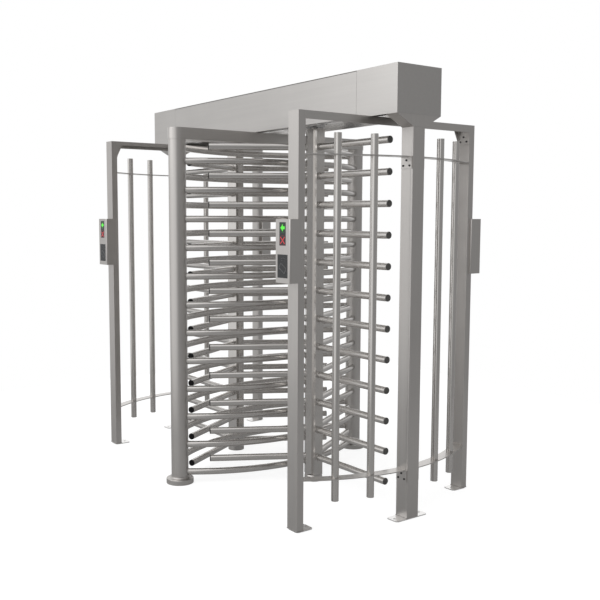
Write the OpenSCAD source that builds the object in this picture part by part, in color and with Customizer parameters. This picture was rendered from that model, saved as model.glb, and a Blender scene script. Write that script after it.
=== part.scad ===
// Full height turnstile with two lanes side by side, in millimetres, +Z up.
// +X runs along the header, -Y is the side of the access cover, and the
// origin lies on the floor below the middle of the header.

/* [Header] */
// Depth of the header from front to back
header_d = 305; // [290:5:340]
// Height of the header box
header_h = 240; // [220:5:300]
// Height of the whole turnstile
overall_h = 2300; // [2290:5:2400]
// Sheet steel of the header
sheet_t = 2; // [1.5:0.5:3]
// Distance of the access cover's ends from the header's ends
cover_end = 297; // [280:1:340]
// Seam beside the access cover
cover_seam = 1; // [1:0.5:4]
// Seam below the access cover
cover_foot_seam = 3; // [2.5:0.5:5]
// Distance of the access cover below the header's top
cover_head_seam = 3.5; // [3.5:0.5:7]
// Height of the tray above the header's lower edge
tray_rise = 25; // [22:1:32]
// Plate of the tray that carries the drive heads
tray_t = 4; // [3:0.5:6]
// Depth that the cover's lower fold takes in front of the tray
fold_room = 36.5; // [34:0.5:42]

/* [Lanes] */
// Reach of a wing from its axis, end cap included
wing_reach = 615; // [580:1:640]
// Gap between a wing's tip and the comb bars that it passes
tip_gap = 21; // [12:1:30]
// Gap between a rotor column and the comb bars beside it
comb_room = 104; // [90:1:120]
// Distance from the tip of a wing turned outwards to the header's end
end_room = 201; // [195:1:240]
// Distance of the comb columns from the middle
comb_y = 674; // [664:1:700]
// Outer diameter of the comb columns
comb_col_d = 100; // [80:1:104]
// Wall of the comb columns
comb_col_wall = 3; // [2:0.5:5]
// Diameter of the rosette round a comb column
rosette_d = 160; // [140:2:200]
// Height of a rosette with its bead
rosette_h = 39; // [36:1:42]

/* [Bars] */
// Diameter of every round bar
bar_d = 38; // [34:1:42]
// Wall of every round bar
bar_wall = 2; // [1.5:0.5:3]
// Distance from the highest bar up to the header
bar_head_room = 105.5; // [105.5:0.5:130]
// Height of the lowest bar in the low set
low_bar_z = 64; // [60:1:75]
// Height of the lowest bar in the high set
high_bar_z = 145; // [140:1:150]
// Bars in each stack
bar_count = 12; // [8:1:12]
// Length of the plastic end caps that show
cap_l = 4; // [4:1:10]

/* [Rotors] */
// Distance of the rotor column's three outer faces from its axis
rotor_face_r = 50; // [46:0.5:55]
// Width of each of those faces
rotor_face_w = 57; // [50:1:62]
// Wall of the rotor column
rotor_wall = 4; // [3:0.5:6]
// Gap between a rotor column's top and the header's lower edge
rotor_head_gap = 2; // [2:1:10]
// Diameter of the cup under a rotor
cup_d = 105; // [100:1:140]
// Height of the cup under a rotor
cup_h = 36; // [28:1:36]
// Gap between the cup and the rotor column
cup_gap = 2; // [1:0.5:2]
// Diameter of the pivot pin in the cup
pivot_d = 30; // [24:1:36]
// Diameter of the drive shaft in its bearing
shaft_d = 40; // [36:1:44]

/* [Posts] */
// Width and depth of the square end posts
end_post_w = 80; // [70:1:90]
// Width of the corner posts along X
corner_w = 80; // [76:1:90]
// Depth of the corner posts along Y
corner_t = 40; // [36:1:50]
// Distance of the corner posts' outer side from the header's end
corner_setback = 179; // [170:1:190]
// Distance of the corner posts' outer front from the middle
corner_y = 617.5; // [610:0.5:640]
// Wall of all posts
post_wall = 3; // [2:0.5:4]
// Height of the flared capital on an end post
capital_h = 60; // [50:1:90]
// Thickness of the floor plates
plate_t = 5; // [4:0.5:8]
// Length of an end post's floor plate
end_plate_l = 222; // [210:1:260]
// Length of a corner post's floor plate
corner_plate_l = 105; // [95:1:130]
// Corner radius of the floor plates
plate_r = 18; // [8:1:20]
// Diameter of the anchor holes
anchor_d = 14; // [11:1:18]

/* [Arms] */
// Width of the cross arm over the comb columns
cross_arm_w = 106; // [106:1:120]
// Height of the cross arm
cross_arm_h = 65; // [50:1:80]
// Outer leg of a side arm
arm_leg = 40; // [34:1:50]
// Inner leg of a side arm
arm_inner_leg = 25; // [15:1:28]
// Sheet of the side arms
arm_t = 3; // [2:0.5:4]
// Length of the brace in a side arm's corner
brace_l = 38; // [30:1:50]
// Height of the brace in a side arm's corner
brace_h = 72; // [60:1:90]

/* [Cages] */
// Distance of a cage ring's middle from the header's end
ring_setback = 45; // [44:1:50]
// Radius of a cage ring at the middle of its band
ring_r = 1060; // [1056:1:1064]
// Width of a cage ring's band
ring_w = 60; // [50:1:66]
// Thickness of a cage ring's band
ring_t = 5; // [4:0.5:6]
// Height of the lower cage ring
low_ring_z = 260; // [240:1:300]
// Distance of the upper cage ring below the header
high_ring_drop = 203; // [190:1:260]
// Height of the cage tubes' lower ends
cage_tube_z = 141; // [120:1:160]
// Distance of the cage tubes' upper ends below the header
cage_tube_drop = 101; // [85:1:130]
// Distance of the cage tubes next to the end post from the header's middle line
near_tube_y = 232; // [215:0.5:255]
// Distance of the other cage tubes from the header's middle line
far_tube_y = 416; // [380:0.5:445]
// Height of a ring's fixing tab
tab_h = 62; // [58:1:70]
// Width of a ring's fixing tab
tab_w = 72; // [60:1:76]

/* [Reader boxes] */
// Width of a reader box
box_w = 117; // [112:1:124]
// Height of a reader box's lower edge
box_z = 1239; // [1100:1:1250]
// How far a reader box stands out from its post
box_out = 59; // [50:1:70]
// How far a reader box reaches back over its post
box_wrap = 20; // [12:1:30]
// How far a reader box stands proud of its post's side
box_side = 13; // [8:1:18]
// Sheet of a reader box
box_t = 2; // [1.5:0.5:3]
// Width of the indicator window
lamp_w = 50; // [40:1:60]
// Height of the indicator window
lamp_h = 111; // [100:1:115]
// Width of the reader window
reader_w = 80; // [70:1:90]
// Height of the reader window
reader_h = 112; // [100:1:115]
// Space between the two windows
window_space = 43; // [30:1:60]

/* [Drive heads] */
// Tooth module of the drive gears
gear_m = 3; // [2.8:0.05:3.1]
// Teeth of the index gear
gear_teeth = 60; // [60:60:60]
// Teeth of the damper pinion
pinion_teeth = 20; // [20:20:20]
// Width of the index gear's teeth
gear_t = 12; // [10:1:14]
// Radius of the notched index disc
disc_r = 75; // [70:1:78]
// Notches in the index disc
notch_count = 12; // [12:12:12]
// Diameter of a lock bolt
bolt_d = 9; // [8:1:9]
// Travel of a lock bolt
bolt_travel = 12; // [10:1:12]

/* [Hidden] */
$fn = 64;

// Running fit, gap between fixed pieces, and overrun of every cut
run = 0.05;
gap = 0.3;
cut = 1;

steel = [0.74, 0.73, 0.72];
bright = [0.80, 0.80, 0.80];
black = [0.12, 0.12, 0.13];
dark_glass = [0.06, 0.07, 0.08];
zinc = [0.62, 0.64, 0.66];
green_board = [0.10, 0.35, 0.20];
casing_grey = [0.42, 0.44, 0.46];

header_z = overall_h - header_h;
rotor_x = (wing_reach + tip_gap + bar_d + rotor_face_r + comb_room) / 2;
comb_bulge = wing_reach - rotor_x + tip_gap + bar_d / 2;
header_l = 2 * (rotor_x + wing_reach + end_room);
bar_pitch = (header_z - bar_head_room - high_bar_z) / (bar_count - 1);
rotor_top_z = header_z - rotor_head_gap;
tray_z = header_z + tray_rise;
deck_z = tray_z + tray_t;
tray_front_y = fold_room - header_d / 2;
tray_back_y = header_d / 2 - sheet_t;
cable_hole_d = 30;
cross_arm_z = header_z - cross_arm_h;

// Access cover, its hinges along the top and its two cam locks
cover_z = header_z + cover_foot_seam;
cover_h = header_h - cover_foot_seam - cover_head_seam;
cover_l = header_l - 2 * cover_end;
cover_edge = 1.5;
fold_gap = 3;
cover_fold = fold_room - fold_gap;
cover_side_fold = 20;
hinge_count = 3;
hinge_end = 233;
hinge_spacing = cover_l / 2 - hinge_end;
hinge_l = 96;
hinge_leaf_t = 1.5;
hinge_leaf_h = 38;
hinge_r = 3.5;
hinge_pin_r = 1.5;
hinge_drop = 10.5;
hinge_reach = 12;
hinge_leaf_l = 30;
hinge_y = sheet_t + gap + hinge_r - header_d / 2;
hinge_z = overall_h - hinge_drop;
lock_end = 333;
lock_x = cover_l / 2 - lock_end;
lock_inset = 18;
lock_y = tray_front_y - lock_inset;
lock_barrel_d = 18;
lock_nut_d = 24;
lock_nut_h = 5;
lock_plug_d = 12;
lock_head_d = 22;
lock_head_h = 2.2;
lock_barrel_h = 10;
lock_cam_l = 34;
lock_cam_w = 14;
lock_cam_t = 3;
lock_cam_gap = 1;
key_slot_l = 7;
key_slot_w = 1.4;
key_slot_depth = 3;
lock_cam_z = cover_z + lock_barrel_h + lock_cam_gap;
cam_slot_h = lock_cam_t + 2 * lock_cam_gap;
cam_slot_side = 9;
cam_slot_l = 46;

// Floor plates and anchor holes
end_post_x = header_l / 2 - end_post_w / 2;
end_anchor_y = 88;
corner_anchor_inset = 23.5;
corner_x = header_l / 2 - corner_setback;
corner_post_x = corner_x - corner_w / 2;
corner_post_y = corner_y - corner_t / 2;
corner_anchor_y = corner_y - corner_plate_l + corner_anchor_inset;
capital_z = header_z - capital_h;

// Screws with a domed head and a socket
screw_head_d = 10;
screw_head_h = 3.2;
screw_d = 6;
screw_socket_af = 4;
screw_socket_depth = 1.8;
screw_nose = 4;
tab_screw_high = 21;
tab_screw_low = 47;
tab_screw_side = 21.5;
arm_screw_high = 63;
arm_screw_low = 88.5;
arm_tab_h = 105;
housing_screw_count = 4;

// Drive head heights, from the tray up
collar_gap = 6;
collar_z = rotor_top_z + collar_gap;
collar_h = tray_z - collar_z;
stud_d = 10;
stud_circle = 33;
top_plug_t = 12;
foot_plug_t = 20;
vent_d = 8;
vent_r = 28;
neck_d = 50;
tray_hole_d = 60;
housing_flange_d = 150;
housing_flange_t = 10;
housing_d = 104;
housing_h = 40;
housing_screw_r = 63;
housing_neck_d = 56;
bearing_d = 80;
bearing_t = 18;
bearing_groove_r = 27;
bearing_groove_w = 6;
bearing_groove_depth = 0.8;
housing_lip = 2;
bearing_z = deck_z + housing_h - bearing_t - housing_lip;
bearing_top = bearing_z + bearing_t;
gear_rise = 61;
gear_z = deck_z + gear_rise;
disc_gap = 4;
disc_t = 10;
disc_z = gear_z + gear_t + disc_gap;
hub_d = 60;
hub_top = disc_z + disc_t + disc_gap;
nut_af = 58;
nut_h = 12;
shaft_end = 8;
notch_play = 2;
notch_w = bolt_d + notch_play;
notch_depth = bolt_travel;
gear_hole_d = 26;
gear_hole_r = 58;
gear_hole_count = 6;
gear_backlash = 0.2;
pressure_angle = 20;
addendum = gear_m;
dedendum = 1.25 * gear_m;
flank_steps = 4;
gear_centres = gear_m * (gear_teeth + pinion_teeth) / 2;
pinion_overhang = 0.5;
damper_d = 60;
damper_h = 51;
damper_flange_w = 76;
damper_flange_t = 6;
damper_flange_r = 6;
damper_shaft_d = 12;
damper_shaft_depth = 28;
damper_shaft_top = 6;
bolt_z = disc_z + disc_t / 2;
bolt_clear = 2;
bolt_l = 88;
bolt_knob_d = 14;
bolt_knob_l = 4;
coil_d = 44;
coil_l = 50;
coil_gap = 22;
coil_start = disc_r + coil_gap;
coil_foot_w = 36;
coil_foot_flange = 10;
coil_foot_t = 4;

// Units on the tray
unit_l = 240;
unit_w = 140;
unit_h = 60;
unit_r = 8;
unit_foot_t = 3;
unit_foot_side = 14;
supply_offset = 385;
supply_x = rotor_x + supply_offset;
supply_l = 190;
supply_w = 110;
supply_h = 50;

// Reader box contents
lamp_from_top = 15;
reader_from_foot = 25;
box_h = reader_from_foot + reader_h + window_space + lamp_h + lamp_from_top;
box_r = 6;
window_flange = 3;
window_flange_t = 2;
board_side = 8.5;
board_end = 9;
board_w = box_w - 2 * board_side;
board_h = box_h - 2 * board_end;
board_t = 2;
standoff_l = 18;
standoff_d = 6;
standoff_side = 5;
standoff_x = board_w / 2 - standoff_side;
standoff_inset = 12;
box_cable_d = 20;
box_front_y = corner_y + box_out;
box_mid_x = corner_x + box_side - box_w / 2;
lamp_z = box_z + box_h - lamp_from_top - lamp_h;
reader_z = box_z + reader_from_foot;

// Cage rings and tubes
ring_cx = header_l / 2 - ring_setback - ring_r;
high_ring_z = header_z - high_ring_drop;
cage_tube_top = header_z - cage_tube_drop;

// Comb bars are single arcs through both comb columns
comb_r = (comb_y * comb_y + comb_bulge * comb_bulge) / (2 * comb_bulge);
comb_cx = comb_bulge - comb_r;
comb_half_angle = asin(comb_y / comb_r);

cap_edge_r = 2.5;
cap_plug_l = 15;
cap_plug_gap = 0.1;
rosette_rim = 29;
rosette_edge = 2;
rosette_lip = 3;
cup_rim = 6;
pivot_h = 24;

// Shared shapes

module on_right(side) {
    if (side > 0) children();
    else mirror([1, 0, 0]) children();
}

module on_back(side) {
    if (side > 0) children();
    else mirror([0, 1, 0]) children();
}

module box_tube(w, d, h, wall) {
    difference() {
        translate([-w / 2, -d / 2, 0]) cube([w, d, h]);
        translate([-w / 2 + wall, -d / 2 + wall, -cut])
            cube([w - 2 * wall, d - 2 * wall, h + 2 * cut]);
    }
}

module round_tube(d, wall, h) {
    difference() {
        cylinder(d = d, h = h);
        translate([0, 0, -cut]) cylinder(d = d - 2 * wall, h = h + 2 * cut);
    }
}

module rounded_rect(w, d, r) {
    square([w - 2 * r, d], center = true);
    square([w, d - 2 * r], center = true);
    for (sx = [-1, 1], sy = [-1, 1])
        translate([sx * (w / 2 - r), sy * (d / 2 - r)]) circle(r = r);
}

// A column with flats that face 0, 60, 120 degrees and so on
module six_sided(af, h) {
    rotate([0, 0, 30]) cylinder(d = af / cos(30), h = h, $fn = 6);
}

// Head above z = 0, shank below it
module socket_screw(shank_l) {
    difference() {
        union() {
            cylinder(d = screw_head_d, h = screw_head_h);
            translate([0, 0, -shank_l]) cylinder(d = screw_d, h = shank_l + screw_head_h / 2);
        }
        translate([0, 0, screw_head_h - screw_socket_depth])
            six_sided(screw_socket_af, screw_socket_depth + cut);
    }
}

// Three places in a triangle on a post's face, in X and Z
module at_tab_screws(high, low) {
    translate([0, 0, -high]) children();
    for (side = [-1, 1]) translate([side * tab_screw_side, 0, -low]) children();
}

// Along +Y from the face at y = 0, for the hole that a tab screw takes
module tab_screw_hole() {
    translate([0, -post_wall - cut, 0])
        rotate([-90, 0, 0]) cylinder(d = screw_d + 2 * run, h = post_wall + ring_t + 2 * cut);
}

// Header

module header_shell() {
    color(steel) difference() {
        translate([-header_l / 2, -header_d / 2, header_z]) cube([header_l, header_d, header_h]);
        translate([-header_l / 2 + sheet_t, -header_d / 2 + sheet_t, header_z - cut])
            cube([header_l - 2 * sheet_t, header_d - 2 * sheet_t, header_h - sheet_t + cut]);
        translate([-cover_l / 2 - cover_seam, -header_d / 2 - cut, header_z - cut])
            cube([cover_l + 2 * cover_seam, sheet_t + 2 * cut, header_h - sheet_t + cut]);
    }
}

module header_tray() {
    tray_l = header_l - 2 * sheet_t;
    tray_d = tray_back_y - tray_front_y;
    color(zinc) difference() {
        translate([-tray_l / 2, tray_front_y, header_z]) cube([tray_l, tray_d, tray_rise + tray_t]);
        translate([-tray_l / 2 - cut, tray_front_y + tray_t, header_z - cut])
            cube([tray_l + 2 * cut, tray_d - 2 * tray_t, tray_rise + cut]);
        for (side = [-1, 1]) {
            translate([side * rotor_x, 0, tray_z - cut]) cylinder(d = tray_hole_d, h = tray_t + 2 * cut);
            translate([side * rotor_x, 0, tray_z]) at_housing_screws() tray_screw_hole();
        }
        translate([0, 0, tray_z - cut]) cylinder(d = cable_hole_d, h = tray_t + 2 * cut);
        for (side = [-1, 1]) translate([side * lock_x, 0, 0]) cam_slot();
    }
}

module tray_screw_hole() {
    translate([0, 0, -cut])
        cylinder(d = screw_d + 2 * run, h = tray_t + housing_flange_t + 2 * cut);
}

module cam_slot() {
    translate([-cam_slot_side, tray_front_y - cut, lock_cam_z - lock_cam_gap])
        cube([cam_slot_l, tray_t + 2 * cut, cam_slot_h]);
}

module header_cover() {
    color(steel) difference() {
        union() {
            cover_skin();
            translate([-cover_l / 2, -header_d / 2, cover_z]) cube([cover_l, cover_fold, sheet_t]);
            for (side = [-1, 1]) on_right(side)
                translate([cover_l / 2 - sheet_t, -header_d / 2, cover_z])
                    cube([sheet_t, cover_side_fold, cover_h - 3 * hinge_drop]);
        }
        for (side = [-1, 1])
            translate([side * lock_x, lock_y, cover_z - cut])
                cylinder(d = lock_barrel_d + 2 * run, h = sheet_t + 2 * cut);
    }
}

// The front sheet, with its upper edge eased so that it swings clear of the header's top
module cover_skin() {
    translate([-cover_l / 2, -header_d / 2, cover_z]) rotate([90, 0, 90])
        linear_extrude(cover_l) polygon([
            [0, 0],
            [sheet_t, 0],
            [sheet_t, cover_h],
            [cover_edge, cover_h],
            [0, cover_h - cover_edge]
        ]);
}

module hinge_places() {
    for (n = [0 : hinge_count - 1])
        translate([(n - (hinge_count - 1) / 2) * hinge_spacing, hinge_y, hinge_z]) children();
}

// The fixed half: two outer knuckles on one pin, and a leaf under the top
module hinge_frame_leaves() {
    knuckle_l = hinge_l / 3 - gap;
    leaf_z = hinge_drop - sheet_t - hinge_leaf_t;
    color(zinc) hinge_places() {
        rotate([0, 90, 0]) cylinder(r = hinge_pin_r, h = hinge_l, center = true);
        for (side = [-1, 1])
            translate([side * (hinge_l - knuckle_l) / 2, 0, 0]) {
                rotate([0, 90, 0]) cylinder(r = hinge_r, h = knuckle_l, center = true);
                translate([-knuckle_l / 2, hinge_pin_r, -hinge_leaf_t / 2])
                    cube([knuckle_l, hinge_reach - hinge_pin_r, hinge_leaf_t]);
                translate([-knuckle_l / 2, hinge_reach - hinge_leaf_t, -hinge_leaf_t / 2])
                    cube([knuckle_l, hinge_leaf_t, leaf_z + hinge_leaf_t]);
            }
        translate([-hinge_l / 2, hinge_reach - hinge_leaf_t, leaf_z])
            cube([hinge_l, hinge_leaf_l, hinge_leaf_t]);
    }
}

// The moving half: one middle knuckle and a leaf behind the cover's skin
module hinge_cover_leaves() {
    knuckle_l = hinge_l / 3 - gap;
    leaf_y = -hinge_r - gap;
    color(zinc) hinge_places() difference() {
        union() {
            rotate([0, 90, 0]) cylinder(r = hinge_r, h = knuckle_l, center = true);
            translate([-knuckle_l / 2, leaf_y, -hinge_r - gap - cut])
                cube([knuckle_l, hinge_leaf_t, hinge_r + gap + cut]);
            translate([-hinge_l / 2, leaf_y, -hinge_leaf_h])
                cube([hinge_l, hinge_leaf_t, hinge_leaf_h - hinge_r - gap]);
        }
        rotate([0, 90, 0]) cylinder(r = hinge_pin_r + run, h = hinge_l + cut, center = true);
    }
}

module lock_barrels() {
    color(bright) for (side = [-1, 1])
        translate([side * lock_x, lock_y, cover_z]) difference() {
            union() {
                cylinder(d = lock_barrel_d, h = lock_barrel_h);
                translate([0, 0, -lock_head_h]) cylinder(d = lock_head_d, h = lock_head_h);
                translate([0, 0, sheet_t]) cylinder(d = lock_nut_d, h = lock_nut_h);
            }
            translate([0, 0, -lock_head_h - cut])
                cylinder(d = lock_plug_d + 2 * run, h = lock_barrel_h + lock_head_h + 2 * cut);
        }
}

// Key plug with its cam, drawn unlocked with the cam along +X
module lock_cam(side) {
    color(zinc) translate([side * lock_x, lock_y, 0]) difference() {
        union() {
            translate([0, 0, cover_z - lock_head_h])
                cylinder(d = lock_plug_d, h = lock_cam_z + lock_cam_t - cover_z + lock_head_h);
            translate([0, 0, lock_cam_z]) linear_extrude(lock_cam_t) {
                circle(d = lock_cam_w);
                translate([0, -lock_cam_w / 2]) square([lock_cam_l - lock_cam_w / 2, lock_cam_w]);
                translate([lock_cam_l - lock_cam_w / 2, 0]) circle(d = lock_cam_w);
            }
        }
        translate([-key_slot_l / 2, -key_slot_w / 2, cover_z - lock_head_h - cut])
            cube([key_slot_l, key_slot_w, key_slot_depth + cut]);
    }
}

// Arms under the header

module cross_arm() {
    color(steel) translate([0, 0, cross_arm_z]) difference() {
        linear_extrude(cross_arm_h) arm_outline(cross_arm_w);
        translate([0, 0, arm_t]) linear_extrude(cross_arm_h - 2 * arm_t)
            arm_outline(cross_arm_w - 2 * arm_t);
        translate([0, 0, cross_arm_h / 2]) cylinder(d = cable_hole_d, h = cross_arm_h);
    }
}

module arm_outline(w) {
    square([w, 2 * comb_y], center = true);
    for (side = [-1, 1]) translate([0, side * comb_y]) circle(d = w);
}

// Channel open below, with a braced and screwed tab at each end
module side_arm(side) {
    arm_l = 2 * (corner_y - corner_t);
    inner_x = corner_x - corner_w;
    color(steel) on_right(side) difference() {
        union() {
            translate([inner_x, -arm_l / 2, header_z - arm_t]) cube([corner_w, arm_l, arm_t]);
            translate([corner_x - arm_t, -arm_l / 2, header_z - arm_leg])
                cube([arm_t, arm_l, arm_leg]);
            translate([inner_x, -arm_l / 2, header_z - arm_inner_leg])
                cube([arm_t, arm_l, arm_inner_leg]);
            for (end = [-1, 1]) on_back(end) {
                translate([inner_x, arm_l / 2 - arm_t, header_z - arm_tab_h])
                    cube([corner_w, arm_t, arm_tab_h]);
                arm_brace(inner_x, arm_inner_leg, brace_l, brace_h);
            }
        }
        for (end = [-1, 1]) on_back(end)
            translate([corner_post_x, arm_l / 2, header_z])
                mirror([0, 1, 0]) at_tab_screws(arm_screw_high, arm_screw_low) tab_screw_hole();
    }
}

// Triangle below a leg, in the corner against the post
module arm_brace(x, leg, l, h) {
    post_face = corner_y - corner_t;
    translate([x, 0, 0]) rotate([90, 0, 90]) linear_extrude(arm_t)
        polygon([
            [post_face - l, header_z - leg + cut],
            [post_face, header_z - leg + cut],
            [post_face, header_z - leg - h],
            [post_face - arm_t, header_z - leg - h],
            [post_face - l, header_z - leg]
        ]);
}

// Screws of the side arms' tabs and of the bearing housings
module frame_screws() {
    arm_face = corner_y - corner_t - arm_t;
    color(black) {
        for (side = [-1, 1], end = [-1, 1]) on_right(side) on_back(end)
            translate([corner_post_x, arm_face, header_z])
                at_tab_screws(arm_screw_high, arm_screw_low)
                    rotate([90, 0, 0]) socket_screw(arm_t + post_wall + screw_nose);
        for (side = [-1, 1])
            translate([side * rotor_x, 0, deck_z + housing_flange_t]) at_housing_screws()
                socket_screw(housing_flange_t + tray_t + screw_nose);
    }
}

module at_housing_screws() {
    for (n = [0 : housing_screw_count - 1])
        rotate([0, 0, (n + 1 / 2) * 360 / housing_screw_count])
            translate([housing_screw_r, 0, 0]) children();
}

// Comb

module comb_column(side) {
    color(steel) translate([0, side * comb_y, 0])
        round_tube(comb_col_d, comb_col_wall, cross_arm_z);
}

// Thick floor flange that rises in a hollow curve round its column
module column_rosettes() {
    inner_r = comb_col_d / 2 + gap;
    neck_r = inner_r + rosette_lip;
    hollow_w = rosette_d / 2 - rosette_edge - neck_r;
    hollow_h = rosette_h - rosette_rim;
    color(steel) for (side = [-1, 1]) translate([0, side * comb_y, 0])
        rotate_extrude() {
            polygon([
                [inner_r, 0],
                [rosette_d / 2, 0],
                [rosette_d / 2, rosette_rim - rosette_edge],
                for (step = [0 : 6])
                    [
                        neck_r + hollow_w * (1 - sin(15 * step)),
                        rosette_rim + hollow_h * (1 - cos(15 * step))
                    ],
                [inner_r, rosette_h]
            ]);
        }
}

module comb_bars(side, first_z) {
    color(steel) on_right(side) difference() {
        for (n = [0 : bar_count - 1])
            translate([comb_cx, 0, first_z + n * bar_pitch])
                rotate([0, 0, -comb_half_angle])
                    rotate_extrude(angle = 2 * comb_half_angle, $fn = 128)
                        translate([comb_r, 0]) difference() {
                            circle(d = bar_d, $fn = 48);
                            circle(d = bar_d - 2 * bar_wall, $fn = 48);
                        }
        for (end = [-1, 1])
            translate([0, end * comb_y, 0])
                cylinder(d = comb_col_d + 2 * run, h = cross_arm_z);
    }
}

// Posts

module end_post(side) {
    color(steel) on_right(side) difference() {
        translate([end_post_x, 0, plate_t])
            box_tube(end_post_w, end_post_w, capital_z - plate_t, post_wall);
        for (end = [-1, 1], z = [low_ring_z, high_ring_z]) on_back(end)
            translate([end_post_x, end_post_w / 2, z])
                at_tab_screws(tab_screw_high, tab_screw_low) tab_screw_hole();
    }
}

// Flared hollow pieces that spread the header's load onto the end posts
module post_capitals() {
    color(steel) for (side = [-1, 1]) on_right(side)
        translate([header_l / 2 - end_post_w, 0, capital_z]) difference() {
            rotate([90, 0, 90]) linear_extrude(end_post_w)
                capital_outline(0, capital_h);
            translate([post_wall, 0, 0]) rotate([90, 0, 90])
                linear_extrude(end_post_w - 2 * post_wall)
                    capital_outline(post_wall, capital_h + cut);
        }
}

module capital_outline(inset, h) {
    spread = (header_d - end_post_w) / 2 / capital_h;
    side = end_post_w / 2 - inset * sqrt(1 + spread * spread);
    foot = side + spread * inset;
    top = side + spread * h;
    polygon([[-foot, inset], [foot, inset], [top, h], [-top, h]]);
}

module corner_post(side, end) {
    color(steel) on_right(side) on_back(end) difference() {
        translate([corner_post_x, corner_post_y, plate_t])
            box_tube(corner_w, corner_t, header_z - plate_t, post_wall);
        translate([corner_post_x, corner_y - corner_t, header_z])
            mirror([0, 1, 0]) at_tab_screws(arm_screw_high, arm_screw_low) tab_screw_hole();
        translate([corner_post_x, corner_y - post_wall - cut, box_z + box_h / 2])
            rotate([-90, 0, 0]) cylinder(d = box_cable_d, h = post_wall + 2 * cut);
    }
}

module post_base_plates() {
    color(steel) {
        for (side = [-1, 1]) translate([side * end_post_x, 0, 0])
            floor_plate(end_post_w, end_plate_l, [-end_anchor_y, end_anchor_y]);
        for (side = [-1, 1], end = [-1, 1]) on_right(side) on_back(end)
            translate([corner_post_x, corner_y - corner_plate_l / 2, 0])
                floor_plate(corner_w, corner_plate_l,
                    [corner_anchor_y - corner_y + corner_plate_l / 2]);
    }
}

module floor_plate(w, l, hole_places) {
    linear_extrude(plate_t) difference() {
        rounded_rect(w, l, plate_r);
        for (y = hole_places) translate([0, y]) circle(d = anchor_d);
    }
}

// Cages

// Flat bands from the corner posts to the end post, with a tab bent down
module cage_rings(side) {
    color(steel) on_right(side) for (end = [-1, 1], z = [low_ring_z, high_ring_z])
        on_back(end) translate([0, 0, z]) difference() {
            union() {
                ring_band();
                translate([end_post_x - tab_w / 2, end_post_w / 2, -tab_h])
                    cube([tab_w, ring_t, tab_h]);
            }
            at_cage_tubes() translate([0, 0, -ring_t - cut])
                cylinder(d = bar_d + gap, h = ring_t + 2 * cut);
            translate([end_post_x, end_post_w / 2, 0])
                at_tab_screws(tab_screw_high, tab_screw_low) tab_screw_hole();
        }
}

// One quarter of a ring, with its top face at z = 0
module ring_band() {
    band_l = corner_y - corner_t - end_post_w / 2;
    translate([ring_cx, 0, -ring_t]) difference() {
        intersection() {
            cylinder(r = ring_r + ring_w / 2, h = ring_t, $fn = 128);
            translate([0, end_post_w / 2, 0]) cube([ring_r + ring_w, band_l, ring_t]);
        }
        translate([0, 0, -cut]) cylinder(r = ring_r - ring_w / 2, h = ring_t + 2 * cut, $fn = 128);
    }
}

// The two tube places on the arc of one quarter
module at_cage_tubes() {
    for (y = [near_tube_y, far_tube_y])
        translate([ring_cx + sqrt(ring_r * ring_r - y * y), y, 0]) children();
}

module cage_tubes(side) {
    color(steel) on_right(side) for (end = [-1, 1]) on_back(end) at_cage_tubes()
        translate([0, 0, cage_tube_z])
            round_tube(bar_d, bar_wall, cage_tube_top - cage_tube_z);
}

module cage_tube_plugs() {
    color(zinc) for (side = [-1, 1], end = [-1, 1]) on_right(side) on_back(end) at_cage_tubes() {
        translate([0, 0, cage_tube_top - cap_plug_l]) tube_plug();
        translate([0, 0, cage_tube_z]) tube_plug();
    }
}

module tube_plug() {
    cylinder(d = bar_d - 2 * bar_wall - 2 * cap_plug_gap, h = cap_plug_l);
}

module ring_screws() {
    color(black) for (side = [-1, 1], end = [-1, 1], z = [low_ring_z, high_ring_z])
        on_right(side) on_back(end) translate([end_post_x, end_post_w / 2 + ring_t, z])
            at_tab_screws(tab_screw_high, tab_screw_low)
                rotate([-90, 0, 0]) socket_screw(ring_t + post_wall + screw_nose);
}

// Reader boxes

// Cover that wraps round a corner post, with openings for both windows
module reader_box(side, end) {
    depth = box_out + box_wrap;
    color(steel) on_right(side) on_back(end) difference() {
        translate([box_mid_x, box_front_y - depth / 2, box_z])
            linear_extrude(box_h) rounded_rect(box_w, depth, box_r);
        translate([box_mid_x - box_w / 2 + box_t, box_front_y - depth + box_t, box_z + box_t])
            cube([box_w - 2 * box_t, depth - 2 * box_t, box_h - 2 * box_t]);
        translate([corner_x - corner_w - gap, box_front_y - depth - cut, box_z - cut])
            cube([corner_w + 2 * gap, box_wrap + cut + gap, box_h + 2 * cut]);
        translate([box_mid_x, 0, 0]) {
            window_block(lamp_w + 2 * gap, lamp_h + 2 * gap, lamp_z - gap, box_t + cut, cut);
            window_block(reader_w + 2 * gap, reader_h + 2 * gap, reader_z - gap, box_t + cut, cut);
        }
    }
}

// A block behind the box's front, and as far before it as proud says
module window_block(w, h, z, depth, proud) {
    translate([-w / 2, box_front_y - depth, z]) cube([w, depth + proud, h]);
}

module window_pane(w, h, z) {
    window_block(w, h, z, box_t + window_flange_t, 0);
    translate([0, -box_t, 0])
        window_block(w + 2 * window_flange, h + 2 * window_flange, z - window_flange,
            window_flange_t, 0);
}

module at_box_middles() {
    for (side = [-1, 1], end = [-1, 1]) on_right(side) on_back(end)
        translate([box_mid_x, 0, 0]) children();
}

module indicator_windows() {
    color(dark_glass) at_box_middles() window_pane(lamp_w, lamp_h, lamp_z);
}

module reader_windows() {
    color(dark_glass) at_box_middles() window_pane(reader_w, reader_h, reader_z);
}

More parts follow.
